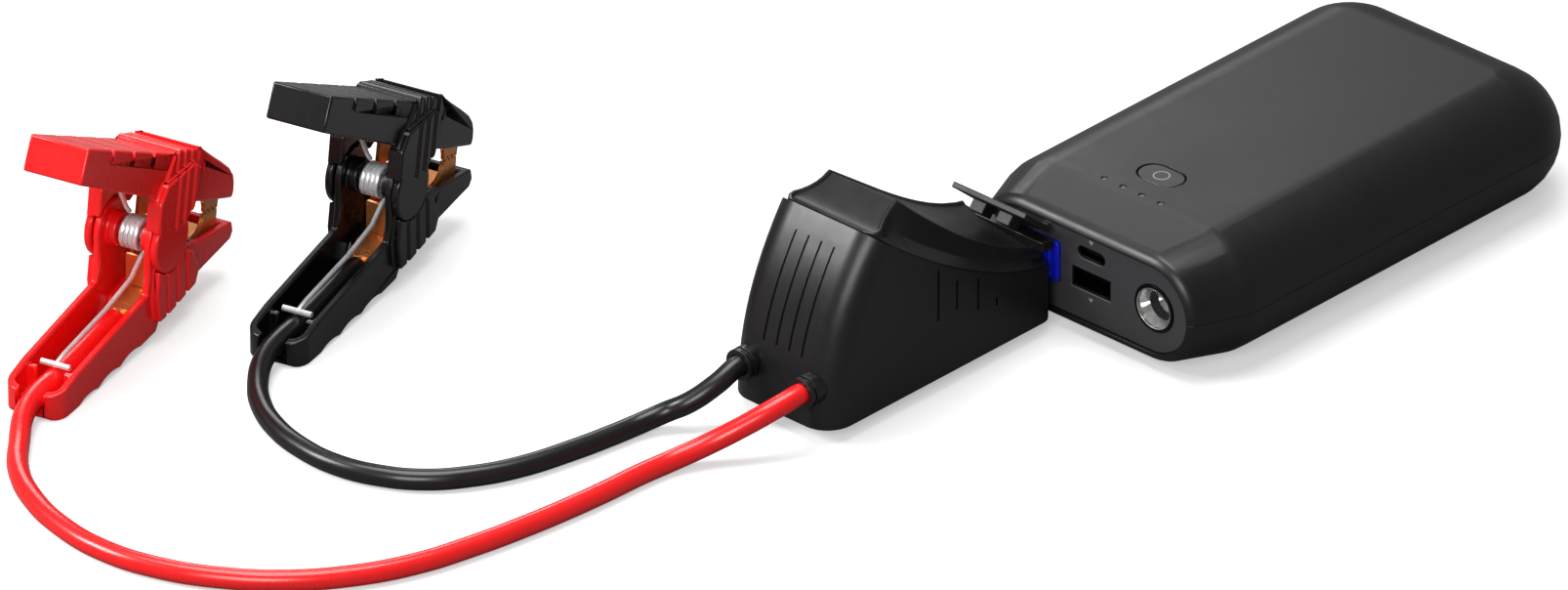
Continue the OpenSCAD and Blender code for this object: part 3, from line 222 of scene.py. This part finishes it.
plastics = {  # the size and the depth of the grain are in mm
    "shellPlastic": {"low": "#0d0d0e", "high": "#121213", "rough": 0.37,
                     "grain": 0.35, "depth": 0.012, "coat": 0.0},
    "panelPlastic": {"low": "#38383a", "high": "#404042", "rough": 0.4,
                     "grain": 0.5, "depth": 0.01, "coat": 0.0},
    "modulePlastic": {"low": "#101011", "high": "#161617", "rough": 0.33,
                      "grain": 0.6, "depth": 0.01, "coat": 0.0},
    "switchPlastic": {"low": "#232324", "high": "#29292a", "rough": 0.42,
                      "grain": 0.4, "depth": 0.01, "coat": 0.0},
    "buttonPlastic": {"low": "#1b1b1c", "high": "#212122", "rough": 0.36,
                      "grain": 0.4, "depth": 0.01, "coat": 0.0},
    "clampBlack": {"low": "#08080a", "high": "#0d0d0e", "rough": 0.26,
                   "grain": 0.7, "depth": 0.01, "coat": 0.2},
    "clampRed": {"low": "#f20f12", "high": "#f81a1c", "rough": 0.26,
                 "grain": 0.7, "depth": 0.01, "coat": 0.3},
    "softBlack": {"low": "#0c0c0d", "high": "#121213", "rough": 0.32,
                  "grain": 0.8, "depth": 0.012, "coat": 0.15},
    "softRed": {"low": "#f20f12", "high": "#f81a1c", "rough": 0.28,
                "grain": 0.8, "depth": 0.012, "coat": 0.3},
    "plugBlue": {"low": "#0c18b0", "high": "#1422cc", "rough": 0.35,
                 "grain": 0.6, "depth": 0.01, "coat": 0.0},
    "coverRubber": {"low": "#161617", "high": "#1c1c1d", "rough": 0.5,
                    "grain": 0.3, "depth": 0.012, "coat": 0.0},
    "relayPlastic": {"low": "#1c2029", "high": "#232832", "rough": 0.4,
                     "grain": 0.6, "depth": 0.01, "coat": 0.0},
}
plasticWear = {  # broad clouds and small rubbed places change the colour and the roughness
    "cloudSize": 22, "cloudDetail": 3, "cloudShare": 0.7, "cloudRough": 0.12,
    "rubSize": 3, "rubDetail": 4, "rubShare": 0.3, "rubRough": 0.1, "rubStretch": (1, 1, 0.3),
    "grainDetail": 2, "grainStrength": 0.6, "coatRough": 0.15,
}
marks = {  # painted marks: a ring on the button and an arrow by each data socket, in mm
    "paint": "#8e9092",
    "ringCentre": (-1.5, -43, 0), "ringSize": 2.1, "ringLine": 0.16,
    "arrowTips": [(1.5, 0, 27.7), (1.5, 0, 10.9)], "arrowHeight": 1.2, "arrowSpread": 0.7,
}


def ringMark(finish):
    fromCentre = finish.reach(finish.away(marks["ringCentre"], (1, 1, 0)))
    return abs(fromCentre - marks["ringSize"] * mm) < marks["ringLine"] * mm


def arrowMark(finish):  # one small arrow into the small socket, one away from the large one
    shown = 0
    for tip in marks["arrowTips"]:
        spot = finish.away(tip, (1, 1, 1))
        rise = finish.along(spot, 2)
        inside = (abs(finish.along(spot, 0)) - rise * marks["arrowSpread"]) < 0
        shown = inside * (rise < marks["arrowHeight"] * mm) + shown
    return shown


def mouldedPlastic(name, mark=None):
    look, wear = plastics[name], plasticWear
    finish = Finish(name)
    cloud = finish.noise(wear["cloudSize"], wear["cloudDetail"])
    grain = finish.noise(look["grain"], wear["grainDetail"])
    rub = finish.noise(wear["rubSize"], wear["rubDetail"], wear["rubStretch"])
    share = cloud * wear["cloudShare"] + rub * wear["rubShare"]
    colour = finish.mix(share, *colours(look))
    if mark:
        colour = finish.mix(mark(finish), colour, linear(marks["paint"]))
    rough = look["rough"] + (cloud - 0.5) * wear["cloudRough"] + (rub - 0.5) * wear["rubRough"]
    return finish.done(Base_Color=colour, Roughness=rough, Coat_Weight=look["coat"],
                       Coat_Roughness=wear["coatRough"],
                       Normal=finish.bump(grain, look["depth"], wear["grainStrength"]))


metals = {  # drawn is the stretch of the drawn lines
    "springSteel": {"low": "#d9dadc", "high": "#f4f5f6", "rough": 0.28,
                    "metal": 0.55, "drawn": (1, 1, 0.2)},
    "screwSteel": {"low": "#9c9da0", "high": "#c8c9cc", "rough": 0.3,
                   "metal": 1.0, "drawn": (1, 1, 1)},
    "socketSteel": {"low": "#232426", "high": "#303235", "rough": 0.35,
                    "metal": 1.0, "drawn": (1, 1, 1)},
    "brass": {"low": "#b98f3c", "high": "#d9b35c", "rough": 0.25,
              "metal": 1.0, "drawn": (1, 1, 1)},
    "jawCopper": {"low": "#d98038", "high": "#f2ab70", "rough": 0.24,
                  "metal": 0.75, "drawn": (1, 1, 0.25)},
}
metalWear = {  # the same for metal: broad clouds and fine drawn lines, with sizes in mm
    "cloudSize": 6, "cloudDetail": 4, "cloudShare": 0.6, "cloudRough": 0.12,
    "lineSize": 0.5, "lineDetail": 3, "lineShare": 0.4, "lineRough": 0.08,
    "lineDepth": 0.01, "lineStrength": 0.4,
}


def barMetal(name):
    look, wear = metals[name], metalWear
    finish = Finish(name)
    cloud = finish.noise(wear["cloudSize"], wear["cloudDetail"])
    lines = finish.noise(wear["lineSize"], wear["lineDetail"], look["drawn"])
    colour = finish.mix(cloud * wear["cloudShare"] + lines * wear["lineShare"], *colours(look))
    rough = look["rough"] + (cloud - 0.5) * wear["cloudRough"] + (lines - 0.5) * wear["lineRough"]
    return finish.done(Base_Color=colour, Roughness=rough, Metallic=look["metal"],
                       Normal=finish.bump(lines, wear["lineDepth"], wear["lineStrength"]))


reflector = {
    "middle": (23.4, 0, 17.7), "bright": [(0, 1.5), (2.5, 3.6), (4.5, 5.7)],  # painted reflection rings, in mm
    # the high colour is the white of the painted reflections
    "low": "#141516", "high": "#ffffff",
    "hazeSize": 1.5, "hazeDetail": 3, "hazeRough": 0.08, "hazeMetal": 0.2,
    "rough": 0.08, "metal": 0.6, "depth": 0.01,
}


def reflectorFinish():  # a mirror with painted reflections: bright rings between dark ones in the base colour
    look = reflector
    finish = Finish("steppedMirror")
    fromMiddle = finish.reach(finish.away(look["middle"], (1, 0, 1)))
    # the base colour is white inside the painted reflection rings
    bright = 0
    for inner, outer in look["bright"]:
        bright = (fromMiddle > inner * mm) * (fromMiddle < outer * mm) + bright
    haze = finish.noise(look["hazeSize"], look["hazeDetail"])
    return finish.done(Base_Color=finish.mix(bright, *colours(look)),
                       Roughness=look["rough"] + haze * look["hazeRough"],
                       Metallic=look["metal"] + haze * look["hazeMetal"],
                       Normal=finish.bump(haze, look["depth"]))


board = {
    "low": "#17492a", "high": "#3a7d4a", "scale": 300, "trackWidth": 0.06,
    "rough": 0.35, "dustSize": 5, "dustRough": 0.1, "depth": 0.02,
}


def boardFinish():
    look = board
    finish = Finish("circuitBoard")
    tracks = finish.add("TexVoronoi", {"feature": "DISTANCE_TO_EDGE"},
                        {"Vector": finish.place(), "Scale": look["scale"]})
    copper = tracks < look["trackWidth"]
    return finish.done(Base_Color=finish.mix(copper, *colours(look)),
                       Roughness=look["rough"] + finish.noise(look["dustSize"]) * look["dustRough"],
                       Normal=finish.bump(copper, look["depth"]))


foam = {
    "low": "#4a4d50", "high": "#666a6e", "scale": 1400,
    "rough": 0.9, "poreRough": 0.1, "depth": 0.1,
}


def foamFinish():
    look = foam
    finish = Finish("foam")
    pores = finish.add("TexVoronoi", {}, {"Vector": finish.place(), "Scale": look["scale"]})
    return finish.done(Base_Color=finish.mix(pores, *colours(look)),
                       Roughness=look["rough"] - pores * look["poreRough"],
                       Normal=finish.bump(pores, look["depth"]))


cloudy = {  # one noise each, with sizes in mm: it mixes the colours and changes the roughness
    "cellPouch": {"low": "#8d9399", "high": "#a9afb4", "size": 4, "detail": 4, "rough": 0.3,
                  "change": 0.2, "depth": 0.1, "rest": {"Metallic": 0.8}},
    "clearPlastic": {"low": "#f4f6f7", "high": "#ffffff", "size": 2, "detail": 3, "rough": 0.03,
                     "change": 0.05, "depth": 0.01, "rest": {"Transmission_Weight": 1.0, "IOR": 1.46}},
    "lightPipe": {"low": "#3b3e40", "high": "#4c5053", "size": 0.5, "detail": 3, "rough": 0.3,
                  "change": 0.1, "depth": 0.01, "rest": {}},
    "ledChip": {"low": "#e8d24a", "high": "#f4e68a", "size": 0.3, "detail": 2, "rough": 0.4,
                "change": 0.1, "depth": 0.02, "rest": {}},
}


def cloudyFinish(name):
    look = cloudy[name]
    finish = Finish(name)
    cloud = finish.noise(look["size"], look["detail"])
    return finish.done(Base_Color=finish.mix(cloud, *colours(look)),
                       Roughness=look["rough"] + cloud * look["change"],
                       Normal=finish.bump(cloud, look["depth"]), **look["rest"])


finishMarks = {"buttonPlastic": ringMark, "panelPlastic": arrowMark}
finishes = {name: mouldedPlastic(name, finishMarks.get(name)) for name in plastics}
finishes.update({name: barMetal(name) for name in metals})
finishes.update({name: cloudyFinish(name) for name in cloudy})
finishes.update(circuitBoard=boardFinish(), foam=foamFinish(), steppedMirror=reflectorFinish())
for colour in ("red", "black"):
    cablePieces[colour].data.materials.append(finishes["soft" + colour.capitalize()])
print("finishes made")


rounding = {
    "segments": 2,
    "corner": radians(32),      # edges sharper than this are rounded
    "merge": 2e-6,              # metres
    "flat": radians(0.5),       # faces closer than this in angle become one
    "finest": radians(0.02),    # the same for module_body, whose grooves are shaded badly by more
    "crowded": ("module_body", "module_base", "module_top_cover"),  # wide edges would cross on these
}


def roundedCopy(node, name, finish, edge):  # a copy of a solid with rounded edges
    mesh = frame["nodes"][node].data.copy()
    mesh.name = name
    work = bmesh.new()
    work.from_mesh(mesh)
    bmesh.ops.remove_doubles(work, verts=work.verts, dist=rounding["merge"])
    flat = rounding["finest"] if node == "module_body" else rounding["flat"]
    bmesh.ops.dissolve_limit(work, angle_limit=flat, verts=work.verts, edges=work.edges)
    for face in work.faces:
        face.smooth = True
    for side in work.edges:
        side.smooth = not (len(side.link_faces) == 2 and side.calc_face_angle(0) > rounding["corner"])
    work.to_mesh(mesh)
    work.free()
    mesh.materials.clear()
    mesh.materials.append(finishes[finish])
    piece = bpy.data.objects.new(name, mesh)
    bpy.context.scene.collection.objects.link(piece)
    if edge:
        bevel = piece.modifiers.new("edges", "BEVEL")
        bevel.width = edge * mm
        bevel.segments = rounding["segments"]
        bevel.limit_method = "ANGLE"
        bevel.angle_limit = rounding["corner"]
        bevel.use_clamp_overlap = node in rounding["crowded"]
        bevel.harden_normals = True
    shade = piece.modifiers.new("shade", "WEIGHTED_NORMAL")
    shade.keep_sharp = True
    return piece


def paintNode(node, finish):
    mesh = frame["nodes"][node].data
    mesh.materials.clear()
    mesh.materials.append(finishes[finish])


bodies = frame["record"]["behaviour"]["bodies"]
bodyOf = {node: body for body, members in bodies.items() for node in members}

mouldings = {  # node: name, finish, edge radius in mm
    "top_shell": ("topShell", "shellPlastic", 0.22),
    "bottom_shell": ("bottomShell", "shellPlastic", 0.22),
    "front_panel": ("frontPanel", "panelPlastic", 0.2),
    "power_button": ("powerButton", "buttonPlastic", 0.3),
    "socket_cover": ("socketCover", "coverRubber", 0.3),
    "output_socket_housing": ("outputSocket", "plugBlue", 0.2),
    "plug_housing": ("plugHousing", "plugBlue", 0.2),
    "torch_reflector": ("torchReflector", "steppedMirror", 0.08),
    "torch_lens": ("torchLens", "clearPlastic", 0.12),
    "usb_a_socket": ("largeDataSocket", "socketSteel", 0.06),
    "usb_c_socket": ("smallDataSocket", "socketSteel", 0.06),
    "led_light_pipes": ("chargeLights", "lightPipe", 0.2),
    "module_body": ("moduleBody", "modulePlastic", 0.3),
    "module_base": ("moduleBase", "modulePlastic", 0.3),
    "module_top_cover": ("moduleDeck", "modulePlastic", 0.4),
    "cable_grommets": ("cableSleeves", "softBlack", 0.15),
}
for colour in ("red", "black"):
    clampPlastic = "clamp" + colour.capitalize()
    mouldings.update({
        colour + "_lower_handle": (colour + "LowerHandle", clampPlastic, 0.5),
        colour + "_upper_handle": (colour + "UpperHandle", clampPlastic, 0.6),
        colour + "_lower_jaw_plate": (colour + "LowerJaw", "jawCopper", 0.12),
        colour + "_upper_jaw_plate": (colour + "UpperJaw", "jawCopper", 0.12),
        colour + "_hinge_pin": (colour + "HingePin", "springSteel", 0.1),
        colour + "_spring": (colour + "Spring", "springSteel", 0),
        colour + "_spring_arm": (colour + "SpringArm", "springSteel", 0),
        colour + "_cable_crimp": (colour + "Crimp", "jawCopper", 0.12),
    })
for node, (name, finish, edge) in mouldings.items():
    piece = roundedCopy(node, name, finish, edge)
    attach(piece, bodyOf[node])
    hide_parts(node)

# the thin hood that hides the plug from above
hood = {
    "left": -34.0, "right": -10.2, "edge": 0.3, "segments": 3,
    "outline": [(-78.6, 23.15), (-74.6, 23.15), (-74.2, 24.0),
                (-74.2, 25.3), (-75.0, 25.9), (-78.6, 26.1)],
}
hoodMesh = bpy.data.meshes.new("plugHood")
hoodWork = bmesh.new()
hoodCorners = [hoodWork.verts.new(at(hood["left"], y, z)) for y, z in hood["outline"]]
hoodStart = hoodWork.faces.new(hoodCorners)
hoodSides = bmesh.ops.extrude_face_region(hoodWork, geom=[hoodStart])["geom"]
hoodEnd = [part for part in hoodSides if isinstance(part, bmesh.types.BMVert)]
bmesh.ops.translate(hoodWork, verts=hoodEnd, vec=at(hood["right"] - hood["left"], 0, 0))
bmesh.ops.recalc_face_normals(hoodWork, faces=hoodWork.faces)
hoodWork.to_mesh(hoodMesh)
hoodWork.free()
hoodMesh.materials.append(finishes["modulePlastic"])
plugHood = bpy.data.objects.new("plugHood", hoodMesh)
bpy.context.scene.collection.objects.link(plugHood)
hoodEdges = plugHood.modifiers.new("edges", "BEVEL")
hoodEdges.width = hood["edge"] * mm
hoodEdges.segments = hood["segments"]
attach(plugHood, "lead_set")

hiddenSolids = {
    "battery_cells": "cellPouch", "cell_foam_pad": "foam", "main_circuit_board": "circuitBoard",
    "board_screws": "screwSteel", "button_switch": "switchPlastic", "torch_led": "ledChip",
    "output_socket_contacts": "brass", "shell_screws": "screwSteel", "cover_hinge_pin": "screwSteel",
    "module_circuit_board": "circuitBoard", "module_relay": "relayPlastic",
    "module_screws": "screwSteel", "plug_pins": "brass", "cable_lugs": "jawCopper",
}
for node, finish in hiddenSolids.items():
    paintNode(node, finish)
print("mouldings dressed")

studio = {
    "floorSeen": 0.7,     # how light the floor's paint is to the camera
    "floorBounce": 0.16,  # how light it is to everything else
    "lift": 0.42,         # light of the floor's own that only the camera sees
    "speckSize": 400,     # faint patches in the paint, in mm
    "speckDetail": 2,
    "speckChange": 0.01,
    "floorRough": 0.8,
    "floorGloss": 0.1,
    "floorSize": 4,       # half the floor's side, in metres
    "worldLight": 0.22,
    "aim": (-0.06, -0.12, 0.02),
    "lamps": [  # place, width, height, power
        ((-1.5, 1.0, 1.0), 0.8, 0.6, 5.5),
        ((-0.3, -0.1, 1.9), 1.2, 1.2, 28),
        ((-1.2, -1.4, 1.2), 0.7, 0.7, 30),
        ((0.7, -1.6, 1.0), 0.8, 0.8, 16),
    ],
}


def floorFinish():
    finish = Finish("floor")
    seen = finish.add("LightPath", out="Is Camera Ray")
    speck = finish.noise(studio["speckSize"], studio["speckDetail"])
    own = studio["floorBounce"] + seen * (studio["floorSeen"] - studio["floorBounce"])
    shade = own + (speck - 0.5) * studio["speckChange"]
    colour = finish.add("CombineColor", {}, {0: shade, 1: shade, 2: shade})
    plain = finish.add("BsdfPrincipled", {}, {"Base Color": colour, "Roughness": studio["floorRough"],
                                              "Specular IOR Level": studio["floorGloss"]})
    glow = finish.add("Emission", {}, {"Color": (1, 1, 1, 1), "Strength": studio["lift"]})
    both = finish.add("AddShader", {}, {0: plain, 1: glow})
    chosen = finish.add("MixShader", {}, {0: seen, 1: plain, 2: both})
    out = finish.tree.nodes.new("ShaderNodeOutputMaterial")
    finish.tree.links.new(chosen.socket, out.inputs["Surface"])
    return finish.material


floorMesh = bpy.data.meshes.new("floor")
floorWork = bmesh.new()
bmesh.ops.create_grid(floorWork, x_segments=2, y_segments=2, size=studio["floorSize"])
floorWork.to_mesh(floorMesh)
floorWork.free()
floorMesh.materials.append(floorFinish())
floor = bpy.data.objects.new("floor", floorMesh)
bpy.context.scene.collection.objects.link(floor)

world = bpy.data.worlds.new("studio")
world.use_nodes = True
bpy.context.scene.world = world
sky = world.node_tree.nodes["Background"]
sky.inputs["Color"].default_value = (1, 1, 1, 1)
sky.inputs["Strength"].default_value = studio["worldLight"]
for index, (place, width, height, power) in enumerate(studio["lamps"]):
    lampData = bpy.data.lights.new(f"lamp{index}", "AREA")
    lampData.shape = "RECTANGLE"
    lampData.size, lampData.size_y = width, height
    lampData.energy = power
    lamp = bpy.data.objects.new(f"lamp{index}", lampData)
    lamp.location = place
    lamp.rotation_euler = (Vector(studio["aim"]) - Vector(place)).to_track_quat("-Z", "Y").to_euler()
    bpy.context.scene.collection.objects.link(lamp)
bpy.context.scene.view_settings.view_transform = "Standard"
print("light set")
